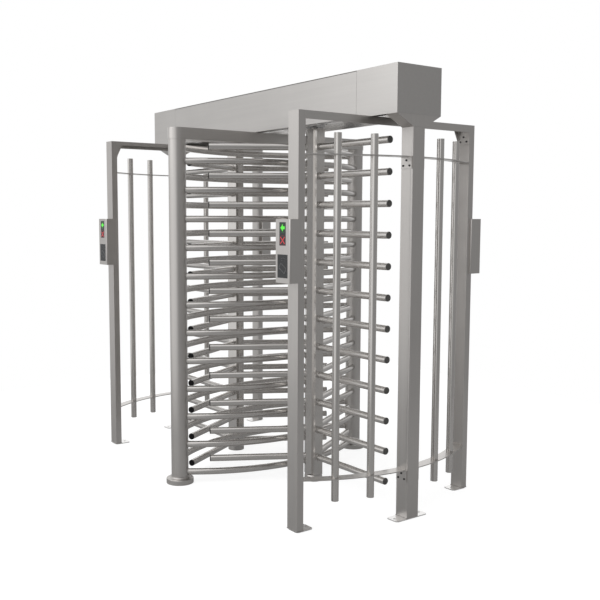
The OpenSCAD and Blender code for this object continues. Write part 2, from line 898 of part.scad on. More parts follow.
module reader_boards() {
    back_y = box_front_y - box_t - standoff_l;
    color(green_board) at_box_middles() {
        translate([-board_w / 2, back_y - board_t, box_z + (box_h - board_h) / 2])
            cube([board_w, board_t, board_h]);
        for (x = [-standoff_x, standoff_x], z = [standoff_inset, box_h - standoff_inset])
            translate([x, back_y - board_t / 2, box_z + z])
                rotate([-90, 0, 0]) cylinder(d = standoff_d, h = standoff_l + board_t / 2);
    }
}

// Units and drive heads on the tray

module tray_unit(l, w, h) {
    translate([0, 0, deck_z]) {
        linear_extrude(h) rounded_rect(l, w, unit_r);
        linear_extrude(unit_foot_t) rounded_rect(l + 2 * unit_foot_side, w / 2, unit_foot_side / 2);
    }
}

module control_unit() {
    color(casing_grey) tray_unit(unit_l, unit_w, unit_h);
}

module power_supply() {
    color(bright) translate([supply_x, 0, 0]) tray_unit(supply_l, supply_w, supply_h);
}

module bearing_housings() {
    color(casing_grey) for (side = [-1, 1]) translate([side * rotor_x, 0, deck_z]) difference() {
        union() {
            cylinder(d = housing_flange_d, h = housing_flange_t);
            cylinder(d = housing_d, h = housing_h);
        }
        translate([0, 0, -cut]) cylinder(d = housing_neck_d, h = housing_h + 2 * cut);
        translate([0, 0, bearing_z - deck_z])
            cylinder(d = bearing_d + 2 * run, h = housing_h);
        translate([0, 0, -tray_t]) at_housing_screws() tray_screw_hole();
    }
}

module head_bearings() {
    color(bright) for (side = [-1, 1]) translate([side * rotor_x, 0, bearing_z]) difference() {
        round_tube(bearing_d, (bearing_d - shaft_d) / 2 - run, bearing_t);
        translate([0, 0, bearing_t - bearing_groove_depth]) difference() {
            cylinder(r = bearing_groove_r + bearing_groove_w, h = bearing_groove_depth + cut);
            translate([0, 0, -cut]) cylinder(r = bearing_groove_r, h = bearing_groove_depth + 3 * cut);
        }
    }
}

module lock_solenoids() {
    color(casing_grey) for (side = [-1, 1]) on_right(side)
        translate([rotor_x - coil_start - coil_l, 0, 0]) difference() {
            union() {
                translate([0, 0, bolt_z]) rotate([0, 90, 0]) cylinder(d = coil_d, h = coil_l);
                translate([0, -coil_foot_w / 2, deck_z]) cube([coil_l, coil_foot_w, bolt_z - deck_z]);
                translate([0, -coil_foot_w / 2 - coil_foot_flange, deck_z])
                    cube([coil_l, coil_foot_w + 2 * coil_foot_flange, coil_foot_t]);
            }
            translate([-cut, 0, bolt_z])
                rotate([0, 90, 0]) cylinder(d = bolt_d + 2 * run, h = coil_l + 2 * cut);
        }
}

// Shown drawn back, with its nose clear of the index disc
module lock_bolt(side) {
    color(bright) on_right(side)
        translate([rotor_x - disc_r - bolt_clear - bolt_l, 0, bolt_z]) rotate([0, 90, 0]) {
            cylinder(d = bolt_d, h = bolt_l);
            cylinder(d = bolt_knob_d, h = bolt_knob_l);
        }
}

module rotary_dampers() {
    color(black) for (side = [-1, 1]) on_right(side)
        translate([rotor_x + gear_centres, 0, deck_z]) difference() {
            union() {
                cylinder(d = damper_d, h = damper_h);
                linear_extrude(damper_flange_t)
                    rounded_rect(damper_flange_w, damper_flange_w, damper_flange_r);
            }
            translate([0, 0, damper_h - damper_shaft_depth])
                cylinder(d = damper_shaft_d + 2 * run, h = damper_shaft_depth + cut);
        }
}

function degrees_of(radians) = radians * 180 / PI;
function involute(angle) = degrees_of(tan(angle)) - angle;
function tooth_half_angle(teeth, r) =
    let (pitch_r = gear_m * teeth / 2, base_r = pitch_r * cos(pressure_angle))
    90 / teeth - degrees_of(gear_backlash / 2 / pitch_r) + involute(pressure_angle)
        - involute(acos(min(1, base_r / r)));
function polar(r, a) = [r * cos(a), r * sin(a)];

// Points of one tooth from its root up one flank, over the tip and down
function tooth_points(teeth, turn) =
    let (
        pitch_r = gear_m * teeth / 2,
        base_r = pitch_r * cos(pressure_angle),
        root_r = pitch_r - dedendum,
        start_r = max(base_r, root_r),
        tip_r = pitch_r + addendum,
        radii = [for (n = [0 : flank_steps]) start_r + (tip_r - start_r) * n / flank_steps],
        foot_half = tooth_half_angle(teeth, start_r)
    )
    concat(
        [polar(root_r, turn - foot_half)],
        [for (r = radii) polar(r, turn - tooth_half_angle(teeth, r))],
        [for (n = [flank_steps : -1 : 0]) polar(radii[n], turn + tooth_half_angle(teeth, radii[n]))],
        [polar(root_r, turn + foot_half)]
    );

module gear_outline(teeth) {
    polygon([for (n = [0 : teeth - 1]) each tooth_points(teeth, n * 360 / teeth)]);
}

// Gear with the notched index disc on one hub
module index_gear(side) {
    color(bright) on_right(side) translate([rotor_x, 0, 0]) difference() {
        union() {
            translate([0, 0, gear_z]) linear_extrude(gear_t) difference() {
                gear_outline(gear_teeth);
                for (n = [0 : gear_hole_count - 1])
                    rotate([0, 0, (n + 1 / 2) * 360 / gear_hole_count])
                        translate([gear_hole_r, 0]) circle(d = gear_hole_d);
            }
            translate([0, 0, disc_z]) linear_extrude(disc_t) difference() {
                circle(r = disc_r);
                for (n = [0 : notch_count - 1]) rotate([0, 0, n * 360 / notch_count])
                    translate([disc_r - notch_depth, -notch_w / 2]) square([disc_r, notch_w]);
            }
            translate([0, 0, bearing_top + gap]) cylinder(d = hub_d, h = hub_top - bearing_top - gap);
        }
        translate([0, 0, bearing_top]) cylinder(d = shaft_d + 2 * run, h = hub_top);
    }
}

// Pinion on the damper's shaft, with a tooth gap towards the index gear
module damper_pinion(side) {
    color(bright) on_right(side) translate([rotor_x + gear_centres, 0, 0]) {
        translate([0, 0, gear_z - pinion_overhang])
            rotate([0, 0, 180 / pinion_teeth])
                linear_extrude(gear_t + 2 * pinion_overhang) gear_outline(pinion_teeth);
        translate([0, 0, deck_z + damper_h - damper_shaft_depth + damper_shaft_top])
            cylinder(d = damper_shaft_d,
                h = gear_z + gear_t - deck_z - damper_h + damper_shaft_depth);
    }
}

// Shaft with its collar and studs, and the nut that holds the index gear
module drive_shaft(side) {
    color(bright) on_right(side) translate([rotor_x, 0, 0]) {
        translate([0, 0, collar_z]) linear_extrude(collar_h - gap) rotor_outline(0);
        translate([0, 0, collar_z]) cylinder(d = neck_d, h = bearing_z - gap - collar_z);
        translate([0, 0, collar_z]) cylinder(d = shaft_d, h = hub_top + nut_h + shaft_end - collar_z);
        for (n = [0 : 2]) rotate([0, 0, n * 120]) translate([stud_circle, 0, 0])
            translate([0, 0, rotor_top_z - top_plug_t])
                cylinder(d = stud_d, h = top_plug_t + 2 * collar_gap);
        translate([0, 0, hub_top]) difference() {
            six_sided(nut_af, nut_h);
            translate([0, 0, -cut]) cylinder(d = shaft_d + 2 * run, h = nut_h + 2 * cut);
        }
    }
}

// Rotors

module floor_pivots() {
    color(steel) for (side = [-1, 1]) translate([side * rotor_x, 0, 0]) rotate_extrude()
        polygon([
            [0, 0],
            [cup_d / 2, 0],
            [cup_d / 2, cup_h - cup_rim],
            [cup_d / 2 - cup_rim / 2, cup_h],
            [pivot_d / 2, cup_h],
            [pivot_d / 2, cup_h + pivot_h],
            [0, cup_h + pivot_h]
        ]);
}

// Outline of the rotor column, three arms of which each carries a wing, inset by a wall
module rotor_outline(inset) {
    w = rotor_face_w - 2 * inset;
    for (n = [0 : 2]) rotate(n * 120) translate([0, -w / 2]) square([rotor_face_r - inset, w]);
}

module rotor_column(side) {
    foot_z = cup_h + cup_gap;
    inner_h = rotor_top_z - foot_z - foot_plug_t - top_plug_t;
    color(steel) on_right(side) translate([rotor_x, 0, foot_z]) difference() {
        linear_extrude(rotor_top_z - foot_z) rotor_outline(0);
        translate([0, 0, foot_plug_t]) linear_extrude(inner_h) rotor_outline(rotor_wall);
        translate([0, 0, -cut]) cylinder(d = pivot_d + 2 * run, h = foot_plug_t + 2 * cut);
        translate([vent_r, 0, -cut]) cylinder(d = vent_d, h = foot_plug_t + 2 * cut);
        for (n = [0 : 2]) rotate([0, 0, n * 120])
            translate([stud_circle, 0, rotor_top_z - foot_z - top_plug_t - cut])
                cylinder(d = stud_d + 2 * run, h = top_plug_t + 2 * cut);
    }
}

// Three wings, each a stack of bars that leave the column's outer faces
module at_wing_bars(side, first_z) {
    on_right(side) for (wing = [0 : 2], n = [0 : bar_count - 1])
        translate([rotor_x, 0, first_z + n * bar_pitch])
            rotate([0, 0, wing * 120]) rotate([0, 90, 0]) children();
}

module wing_bars(side, first_z) {
    color(steel) at_wing_bars(side, first_z) translate([0, 0, rotor_face_r])
        round_tube(bar_d, bar_wall, wing_reach - cap_l - rotor_face_r);
}

module wing_caps(side, first_z) {
    color(black) at_wing_bars(side, first_z) translate([0, 0, wing_reach - cap_l])
        rotate_extrude() {
            plug_r = bar_d / 2 - bar_wall - cap_plug_gap;
            translate([0, -cap_plug_l]) square([plug_r, cap_plug_l]);
            square([bar_d / 2, cap_l - cap_edge_r]);
            square([bar_d / 2 - cap_edge_r, cap_l]);
            translate([bar_d / 2 - cap_edge_r, cap_l - cap_edge_r]) intersection() {
                circle(r = cap_edge_r);
                square([cap_edge_r, cap_edge_r]);
            }
        }
}

header_shell();
header_tray();
header_cover();
hinge_frame_leaves();
hinge_cover_leaves();
lock_barrels();
lock_cam(1);  // lock_cam_right
lock_cam(-1);  // lock_cam_left
cross_arm();
side_arm(1);  // side_arm_right
side_arm(-1);  // side_arm_left
frame_screws();
comb_column(-1);  // comb_column_front
comb_column(1);  // comb_column_back
column_rosettes();
comb_bars(1, low_bar_z);  // comb_bars_right
comb_bars(-1, high_bar_z);  // comb_bars_left
end_post(1);  // end_post_right
end_post(-1);  // end_post_left
post_capitals();
post_base_plates();
corner_post(1, -1);  // corner_post_front_right
corner_post(-1, -1);  // corner_post_front_left
corner_post(1, 1);  // corner_post_back_right
corner_post(-1, 1);  // corner_post_back_left
cage_rings(1);  // cage_rings_right
cage_rings(-1);  // cage_rings_left
cage_tubes(1);  // cage_tubes_right
cage_tubes(-1);  // cage_tubes_left
cage_tube_plugs();
ring_screws();
reader_box(1, -1);  // reader_box_front_right
reader_box(-1, -1);  // reader_box_front_left
reader_box(1, 1);  // reader_box_back_right
reader_box(-1, 1);  // reader_box_back_left
indicator_windows();
reader_windows();
reader_boards();
control_unit();
power_supply();
bearing_housings();
head_bearings();
lock_solenoids();
rotary_dampers();
floor_pivots();
rotor_column(1);  // rotor_column_right
rotor_column(-1);  // rotor_column_left
wing_bars(1, high_bar_z);  // wing_bars_right
wing_bars(-1, low_bar_z);  // wing_bars_left
wing_caps(1, high_bar_z);  // wing_caps_right
wing_caps(-1, low_bar_z);  // wing_caps_left
drive_shaft(1);  // drive_shaft_right
drive_shaft(-1);  // drive_shaft_left
index_gear(1);  // index_gear_right
index_gear(-1);  // index_gear_left
lock_bolt(1);  // lock_bolt_right
lock_bolt(-1);  // lock_bolt_left
damper_pinion(1);  // damper_pinion_right
damper_pinion(-1);  // damper_pinion_left
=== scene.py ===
import math

import bmesh
import bpy
from mathutils import Matrix, Vector


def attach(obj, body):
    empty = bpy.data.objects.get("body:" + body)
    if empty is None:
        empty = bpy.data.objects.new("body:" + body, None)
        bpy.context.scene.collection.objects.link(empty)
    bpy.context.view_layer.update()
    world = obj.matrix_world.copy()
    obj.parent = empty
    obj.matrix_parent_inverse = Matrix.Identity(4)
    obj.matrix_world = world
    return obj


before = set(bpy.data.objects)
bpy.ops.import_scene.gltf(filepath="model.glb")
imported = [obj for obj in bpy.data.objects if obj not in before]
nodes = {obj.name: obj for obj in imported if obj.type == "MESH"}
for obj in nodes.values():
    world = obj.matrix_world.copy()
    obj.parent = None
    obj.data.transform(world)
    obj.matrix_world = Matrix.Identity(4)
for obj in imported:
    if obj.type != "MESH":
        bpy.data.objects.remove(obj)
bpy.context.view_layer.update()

scene = bpy.context.scene

# Camera
# The photographed view: from the right front corner, at head height and looking slightly down,
# with a normal lens. The sideways shift puts the turnstile where the photograph has it.
camera_data = bpy.data.cameras.new("photo_camera")
camera_data.sensor_width = 36
camera_data.lens = 50.73
camera_data.shift_x = 0.0653
camera_data.clip_end = 60
camera = bpy.data.objects.new("photo_camera", camera_data)
camera.location = (4.24397, -3.10254, 1.54881)
camera.rotation_euler = (math.radians(90 - 5.52), 0, math.radians(54.63))
scene.collection.objects.link(camera)
scene.camera = camera
scene.view_settings.view_transform = "Standard"

# Studio light
# A white room whose walls glow softly. It is brightest in front of the turnstile, lighter again
# above it and behind its left end, and dimmest at its right, so satin steel shades as it turns.


def add_node(tree, kind, **settings):
    node = tree.nodes.new(kind)
    for name, value in settings.items():
        setattr(node, name, value)
    return node


def math_node(tree, operation, first, second):
    node = add_node(tree, "ShaderNodeMath", operation=operation)
    for socket, value in zip(node.inputs, (first, second)):
        if isinstance(value, bpy.types.NodeSocket):
            tree.links.new(value, socket)
        else:
            socket.default_value = value
    return node.outputs[0]


def shows_white(tree, mirrored_share):
    """How far a ray meets the plain white background: straight on, through glass or mirrored."""
    path = add_node(tree, "ShaderNodeLightPath")
    through_glass = path.outputs["Is Transmission Ray"]
    direct = math_node(tree, "MAXIMUM", path.outputs["Is Camera Ray"], through_glass)
    mirrored = math_node(tree, "MULTIPLY", path.outputs["Is Glossy Ray"], mirrored_share)
    return math_node(tree, "MAXIMUM", direct, mirrored)


def glow(tree, direction, azimuth, elevation, start, full, strength):
    """A soft patch of the walls round one direction, even inside full and fading out to start."""
    turn, rise = math.radians(azimuth), math.radians(elevation)
    level = math.cos(rise)
    dot = add_node(tree, "ShaderNodeVectorMath", operation="DOT_PRODUCT")
    dot.inputs[1].default_value = (math.cos(turn) * level, math.sin(turn) * level, math.sin(rise))
    tree.links.new(direction, dot.inputs[0])
    fade = add_node(tree, "ShaderNodeMapRange", interpolation_type="SMOOTHSTEP")
    fade.inputs["From Min"].default_value = start
    fade.inputs["From Max"].default_value = full
    fade.inputs["To Max"].default_value = strength
    tree.links.new(dot.outputs["Value"], fade.inputs["Value"])
    return fade.outputs["Result"]


room = bpy.data.worlds.new("studio_room")
room.use_nodes = True
scene.world = room
room_tree = room.node_tree
room_tree.nodes.clear()
room_direction = add_node(room_tree, "ShaderNodeTexCoord").outputs["Generated"]
wall_level = 0.29
mirrored_wall_share = 0.12
front_wall = glow(
    room_tree, room_direction, azimuth=-98, elevation=3, start=0.32, full=0.85, strength=0.76
)
back_wall = glow(
    room_tree, room_direction, azimuth=150, elevation=12, start=0.5, full=1.0, strength=0.9
)
ceiling = glow(
    room_tree, room_direction, azimuth=-80, elevation=62, start=0.72, full=0.92, strength=0.8
)
room_light = math_node(room_tree, "ADD", wall_level, front_wall)
room_light = math_node(room_tree, "ADD", room_light, back_wall)
room_light = math_node(room_tree, "ADD", room_light, ceiling)
room_split = add_node(room_tree, "ShaderNodeSeparateXYZ")
room_tree.links.new(room_direction, room_split.inputs[0])
room_fall = add_node(room_tree, "ShaderNodeMapRange", interpolation_type="SMOOTHSTEP")
room_fall.inputs["From Min"].default_value = -0.6
room_fall.inputs["From Max"].default_value = 0.15
room_fall.inputs["To Min"].default_value = 0.5
room_tree.links.new(room_split.outputs["Z"], room_fall.inputs["Value"])
room_light = math_node(room_tree, "MULTIPLY", room_light, room_fall.outputs["Result"])
room_seen = shows_white(room_tree, mirrored_wall_share)
room_strength = add_node(room_tree, "ShaderNodeMix", data_type="FLOAT")
room_tree.links.new(room_seen, room_strength.inputs[0])
room_tree.links.new(room_light, room_strength.inputs[2])
room_strength.inputs[3].default_value = 1.0
room_shader = add_node(room_tree, "ShaderNodeBackground")
room_shader.inputs["Color"].default_value = (1, 1, 1, 1)
room_tree.links.new(room_strength.outputs[0], room_shader.inputs["Strength"])
room_output = add_node(room_tree, "ShaderNodeOutputWorld")
room_tree.links.new(room_shader.outputs[0], room_output.inputs["Surface"])

key_data = bpy.data.lights.new("key_panel", "AREA")
key_data.shape = "RECTANGLE"
key_data.size = 4.0
key_data.size_y = 3.0
key_data.energy = 40
key = bpy.data.objects.new("key_panel", key_data)
key.location = (-1.6, -5.2, 4.2)
key.rotation_euler = (Vector((0, 0, 1.1)) - key.location).to_track_quat("-Z", "Y").to_euler()
scene.collection.objects.link(key)

# Floor
# A plain white floor that takes only a faint, soft shadow from the turnstile. It lies a hair below
# the feet, so that it never shows through their undersides.
floor_half = 3.2
floor_drop = 0.0004
floor_grey = 0.30
floor_glow_level = 0.85
mirrored_floor_share = 0.2
floor_bm = bmesh.new()
bmesh.ops.create_grid(floor_bm, x_segments=1, y_segments=1, size=floor_half)
bmesh.ops.translate(floor_bm, verts=floor_bm.verts, vec=(0, 0, -floor_drop))
floor_mesh = bpy.data.meshes.new("floor")
floor_bm.to_mesh(floor_mesh)
floor_bm.free()
floor = bpy.data.objects.new("floor", floor_mesh)
scene.collection.objects.link(floor)
floor_paint = bpy.data.materials.new("floor_white")
floor_paint.use_nodes = True
floor_tree = floor_paint.node_tree
floor_tree.nodes.clear()
floor_matte = add_node(floor_tree, "ShaderNodeBsdfDiffuse")
floor_matte.inputs["Color"].default_value = (floor_grey, floor_grey, floor_grey, 1)
floor_glow = add_node(floor_tree, "ShaderNodeEmission")
floor_seen = shows_white(floor_tree, mirrored_floor_share)
floor_level = math_node(floor_tree, "MULTIPLY", floor_seen, floor_glow_level)
floor_tree.links.new(floor_level, floor_glow.inputs["Strength"])
floor_sum = add_node(floor_tree, "ShaderNodeAddShader")
floor_tree.links.new(floor_matte.outputs[0], floor_sum.inputs[0])
floor_tree.links.new(floor_glow.outputs[0], floor_sum.inputs[1])
floor_output = add_node(floor_tree, "ShaderNodeOutputMaterial")
floor_tree.links.new(floor_sum.outputs[0], floor_output.inputs["Surface"])
floor_mesh.materials.append(floor_paint)

# Header
# A long box of folded stainless sheet with a hinged cover in front and a tray that closes it from
# below. The sheet was brushed along its length before it was folded, so its grain runs that way.


def brushed_finish():
    """Node group: the streaks of a brushed metal, its smudges, and how they change its gloss."""
    group = bpy.data.node_groups.new("brushed_finish", "ShaderNodeTree")
    face = group.interface
    face.new_socket("Colour", in_out="INPUT", socket_type="NodeSocketColor")
    face.new_socket("Grain", in_out="INPUT", socket_type="NodeSocketVector")
    for name in ("Shade", "Roughness", "Spread"):
        face.new_socket(name, in_out="INPUT", socket_type="NodeSocketFloat")
    face.new_socket("Colour", in_out="OUTPUT", socket_type="NodeSocketColor")
    face.new_socket("Roughness", in_out="OUTPUT", socket_type="NodeSocketFloat")
    face.new_socket("Height", in_out="OUTPUT", socket_type="NodeSocketFloat")
    given = add_node(group, "NodeGroupInput")
    place = add_node(group, "ShaderNodeTexCoord").outputs["Object"]
    stretch = add_node(group, "ShaderNodeVectorMath", operation="MULTIPLY")
    group.links.new(place, stretch.inputs[0])
    group.links.new(given.outputs["Grain"], stretch.inputs[1])
    streaks = add_node(group, "ShaderNodeTexNoise")
    streaks.inputs["Scale"].default_value = 1
    streaks.inputs["Detail"].default_value = 5
    streaks.inputs["Roughness"].default_value = 0.7
    group.links.new(stretch.outputs[0], streaks.inputs["Vector"])
    smudges = add_node(group, "ShaderNodeTexNoise")
    smudges.inputs["Scale"].default_value = 4.5
    smudges.inputs["Detail"].default_value = 4
    group.links.new(place, smudges.inputs["Vector"])
    streak = math_node(group, "SUBTRACT", streaks.outputs["Fac"], 0.5)
    smudge = math_node(group, "SUBTRACT", smudges.outputs["Fac"], 0.5)
    both = math_node(group, "ADD", streak, math_node(group, "MULTIPLY", smudge, 0.6))
    shade = math_node(group, "ADD", math_node(group, "MULTIPLY", both, given.outputs["Shade"]), 1)
    tint = add_node(group, "ShaderNodeVectorMath", operation="SCALE")
    group.links.new(given.outputs["Colour"], tint.inputs[0])
    group.links.new(shade, tint.inputs["Scale"])
    gloss = math_node(group, "MULTIPLY", both, given.outputs["Spread"])
    gloss = math_node(group, "ADD", gloss, given.outputs["Roughness"])
    made = add_node(group, "NodeGroupOutput")
    group.links.new(tint.outputs[0], made.inputs["Colour"])
    group.links.new(gloss, made.inputs["Roughness"])
    group.links.new(streaks.outputs["Fac"], made.inputs["Height"])
    return group


brushed = brushed_finish()


def steel_finish(name, colour, grain, roughness, shade=0.16, spread=0.16, relief=0.12):
    """A brushed metal whose streaks are long where the grain value is small."""
    material = bpy.data.materials.new(name)
    material.use_nodes = True
    tree = material.node_tree
    shader = tree.nodes["Principled BSDF"]
    shader.inputs["Metallic"].default_value = 1
    finish = add_node(tree, "ShaderNodeGroup", node_tree=brushed)
    finish.inputs["Colour"].default_value = (*colour, 1)
    finish.inputs["Grain"].default_value = grain
    finish.inputs["Shade"].default_value = shade
    finish.inputs["Roughness"].default_value = roughness
    finish.inputs["Spread"].default_value = spread
    bump = add_node(tree, "ShaderNodeBump")
    bump.inputs["Strength"].default_value = relief
    bump.inputs["Distance"].default_value = 0.0002
    tree.links.new(finish.outputs["Colour"], shader.inputs["Base Color"])
    tree.links.new(finish.outputs["Roughness"], shader.inputs["Roughness"])
    tree.links.new(finish.outputs["Height"], bump.inputs["Height"])
    tree.links.new(bump.outputs["Normal"], shader.inputs["Normal"])
    return material


def paint(material, *names):
    for name in names:
        nodes[name].data.materials.clear()
        nodes[name].data.materials.append(material)


lengthwise_grain = (1.5, 70, 70)
header_steel = steel_finish(
    "stainless_brushed_lengthwise", (0.53, 0.515, 0.5), lengthwise_grain, 0.36
)
paint(header_steel, "header_shell", "header_cover")
# The tray's colour is paler than the other steel. It is painted light that brightens the header's
# underside, while its smoother gloss is real.
tray_steel_painted_light = steel_finish(
    "stainless_smooth_sheet_painted_light", (0.88, 0.87, 0.86), lengthwise_grain, 0.2, relief=0.05
)
paint(tray_steel_painted_light, "header_tray")

# Posts and columns
# Stainless tube, square at the ends and corners and round at the comb, linished along its length.
# The reader boxes are folded from the same steel and wrap round the corner posts.
stainless = (0.56, 0.54, 0.522)
upright_grain = (110, 110, 1.6)
upright_steel = steel_finish("stainless_brushed_upright", stainless, upright_grain, 0.34)
paint(
    upright_steel,
    "end_post_right", "end_post_left", "post_capitals",
    "corner_post_front_right", "corner_post_front_left",
    "corner_post_back_right", "corner_post_back_left",
    "comb_column_front", "comb_column_back",
    "reader_box_front_right", "reader_box_front_left",
    "reader_box_back_right", "reader_box_back_left",
)

# Tubes of the cages and rotors
# Drawn stainless tube that was only polished, so it shines more than the linished posts. The
# bars are welded to the columns, and the rings hold the cage tubes.
polished = (0.62, 0.6, 0.58)
polish = {"roughness": 0.2, "shade": 0.1, "spread": 0.06, "relief": 0.03}
level_grain = (3, 3, 160)
drawn_steel = steel_finish("stainless_drawn_upright", polished, upright_grain, **polish)
paint(drawn_steel, "cage_tubes_right", "cage_tubes_left", "rotor_column_right", "rotor_column_left")
bar_steel = steel_finish("stainless_drawn_level", polished, level_grain, **polish)
paint(bar_steel, "comb_bars_right", "comb_bars_left", "wing_bars_right", "wing_bars_left")

# Arms and rings
# Folded arms, flat curved rings and turned floor flanges of the same stainless steel, with the
# grain lying flat. The floor plates were cut from bright sheet and never brushed.
level_steel = steel_finish("stainless_brushed_level", stainless, level_grain, 0.34)
paint(
    level_steel,
    "cross_arm", "side_arm_right", "side_arm_left", "cage_rings_right", "cage_rings_left",
    "column_rosettes", "floor_pivots",
)
even_grain = (9, 9, 9)
plate_steel = steel_finish("stainless_cut_plate", (0.8, 0.79, 0.78), even_grain, 0.3)
paint(plate_steel, "post_base_plates")

# Machined pieces
# Shafts, gears, bolts and bearings of plain turned steel, brighter than the frame. Hinges, cams
# and the plugs in the cage tubes are pressed and zinc plated.
machined_steel = steel_finish("machined_steel", (0.62, 0.62, 0.62), (60, 60, 260), 0.26)
paint(
    machined_steel,
    "drive_shaft_right", "drive_shaft_left", "index_gear_right", "index_gear_left",
    "lock_bolt_right", "lock_bolt_left", "damper_pinion_right", "damper_pinion_left",
    "head_bearings", "power_supply", "lock_barrels",
)
zinc_plate = steel_finish("zinc_plated_steel", (0.55, 0.57, 0.59), even_grain, 0.42, shade=0.3)
paint(
    zinc_plate,
    "hinge_frame_leaves", "hinge_cover_leaves", "lock_cam_right", "lock_cam_left",
    "cage_tube_plugs",
)

# Plastic and paint
# Moulded black end caps, dark screws, painted castings, tinted windows and circuit boards. The
# caps are pushed into the bars, and the windows sit in the boxes from behind.


def moulded_surface():
    """Node group: the fine grit of a moulded or painted surface, and its uneven tone and gloss."""
    group = bpy.data.node_groups.new("moulded_surface", "ShaderNodeTree")
    face = group.interface
    face.new_socket("Colour", in_out="INPUT", socket_type="NodeSocketColor")
    face.new_socket("Roughness", in_out="INPUT", socket_type="NodeSocketFloat")
    face.new_socket("Colour", in_out="OUTPUT", socket_type="NodeSocketColor")
    face.new_socket("Roughness", in_out="OUTPUT", socket_type="NodeSocketFloat")
    face.new_socket("Height", in_out="OUTPUT", socket_type="NodeSocketFloat")
    given = add_node(group, "NodeGroupInput")
    place = add_node(group, "ShaderNodeTexCoord").outputs["Object"]
    grains = add_node(group, "ShaderNodeTexNoise")
    grains.inputs["Scale"].default_value = 900
    grains.inputs["Detail"].default_value = 2
    clouds = add_node(group, "ShaderNodeTexNoise")
    clouds.inputs["Scale"].default_value = 14
    clouds.inputs["Detail"].default_value = 3
    for noise in (grains, clouds):
        group.links.new(place, noise.inputs["Vector"])
    tone = math_node(group, "MULTIPLY", clouds.outputs["Fac"], 0.33)
    tint = add_node(group, "ShaderNodeVectorMath", operation="SCALE")
    group.links.new(given.outputs["Colour"], tint.inputs[0])
    group.links.new(math_node(group, "ADD", tone, 0.85), tint.inputs["Scale"])
    cloudy = math_node(group, "MULTIPLY", clouds.outputs["Fac"], 0.14)
    gloss = math_node(group, "ADD", cloudy, -0.07)
    gloss = math_node(group, "ADD", gloss, given.outputs["Roughness"])
    made = add_node(group, "NodeGroupOutput")
    group.links.new(tint.outputs[0], made.inputs["Colour"])
    group.links.new(gloss, made.inputs["Roughness"])
    group.links.new(grains.outputs["Fac"], made.inputs["Height"])
    return group


moulded = moulded_surface()


def moulded_finish(name, colour, roughness, relief=0.15, metallic=0.0):
    """A plain moulded or painted surface in one colour."""
    material = bpy.data.materials.new(name)
    material.use_nodes = True
    tree = material.node_tree
    shader = tree.nodes["Principled BSDF"]
    shader.inputs["Metallic"].default_value = metallic
    finish = add_node(tree, "ShaderNodeGroup", node_tree=moulded)
    finish.inputs["Colour"].default_value = (*colour, 1)
    finish.inputs["Roughness"].default_value = roughness
    bump = add_node(tree, "ShaderNodeBump")
    bump.inputs["Strength"].default_value = relief
    bump.inputs["Distance"].default_value = 0.0003
    tree.links.new(finish.outputs["Colour"], shader.inputs["Base Color"])
    tree.links.new(finish.outputs["Roughness"], shader.inputs["Roughness"])
    tree.links.new(finish.outputs["Height"], bump.inputs["Height"])
    tree.links.new(bump.outputs["Normal"], shader.inputs["Normal"])
    return material


def black_finish(name):
    """Dull black plastic that hardly mirrors the room."""
    material = moulded_finish(name, (0.008, 0.008, 0.009), 0.5)
    material.node_tree.nodes["Principled BSDF"].inputs["Specular IOR Level"].default_value = 0.12
    return material


def caps_with_painted_reflection(painted_reflection_from_x):
    """Black caps, with a painted reflection: the caps on the wing that points out of the right cage
    are coloured grey, as if they mirrored the pale room.
    """
    material = black_finish("black_end_caps_painted_reflection")
    tree = material.node_tree
    shader = tree.nodes["Principled BSDF"]
    black = shader.inputs["Base Color"].links[0].from_socket
    place = add_node(tree, "ShaderNodeSeparateXYZ")
    tree.links.new(add_node(tree, "ShaderNodeTexCoord").outputs["Object"], place.inputs[0])
    outward = math_node(tree, "GREATER_THAN", place.outputs["X"], painted_reflection_from_x)
    tone = add_node(tree, "ShaderNodeMix", data_type="RGBA")
    # This grey is a painted reflection of the pale room, not a colour of the caps.
    tone.inputs[7].default_value = (0.17, 0.168, 0.164, 1)
    tree.links.new(outward, tone.inputs[0])
    tree.links.new(black, tone.inputs[6])
    tree.links.new(tone.outputs[2], shader.inputs["Base Color"])
    return material


paint(black_finish("black_moulded_plastic"), "wing_caps_left", "rotary_dampers")
# The caps of the right rotor's outward wing carry a painted reflection in grey.
paint(caps_with_painted_reflection(painted_reflection_from_x=0.9), "wing_caps_right")
black_steel = moulded_finish("blackened_screw_steel", (0.05, 0.05, 0.052), 0.38, metallic=0.8)
paint(black_steel, "frame_screws", "ring_screws")
casing_paint = moulded_finish("grey_casing_paint", (0.20, 0.215, 0.23), 0.5)
paint(casing_paint, "control_unit", "bearing_housings", "lock_solenoids")
window_tint = moulded_finish("dark_window_plastic", (0.018, 0.02, 0.022), 0.14, relief=0.02)
paint(window_tint, "indicator_windows", "reader_windows")
board_green = moulded_finish("circuit_board_green", (0.03, 0.16, 0.08), 0.35, relief=0.05)
paint(board_green, "reader_boards")

# Edges of posts and boxes
# Drawn square tube, folded arms and boxes, and cut plates have small radii at their corners, which
# catch the light as thin lines.
for name in (
    "side_arm_right", "side_arm_left", "end_post_right", "end_post_left", "post_capitals",
    "corner_post_front_right", "corner_post_front_left",
    "corner_post_back_right", "corner_post_back_left", "post_base_plates",
    "reader_box_front_right", "reader_box_front_left",
    "reader_box_back_right", "reader_box_back_left",
):
    joined = nodes[name].modifiers.new("joined_corners", "WELD")
    joined.merge_threshold = 0.00001
    rounded = nodes[name].modifiers.new("rounded_edges", "BEVEL")
    rounded.width = 0.0009
    rounded.segments = 2
    rounded.limit_method = "ANGLE"
    rounded.angle_limit = math.radians(50)
    rounded.harden_normals = True

# Indicator pictograms
# Each box shows a green arrow above a red cross, drawn with rows of small lamps that are let into
# the dark window. A ring of dimmer lamps goes round each sign.


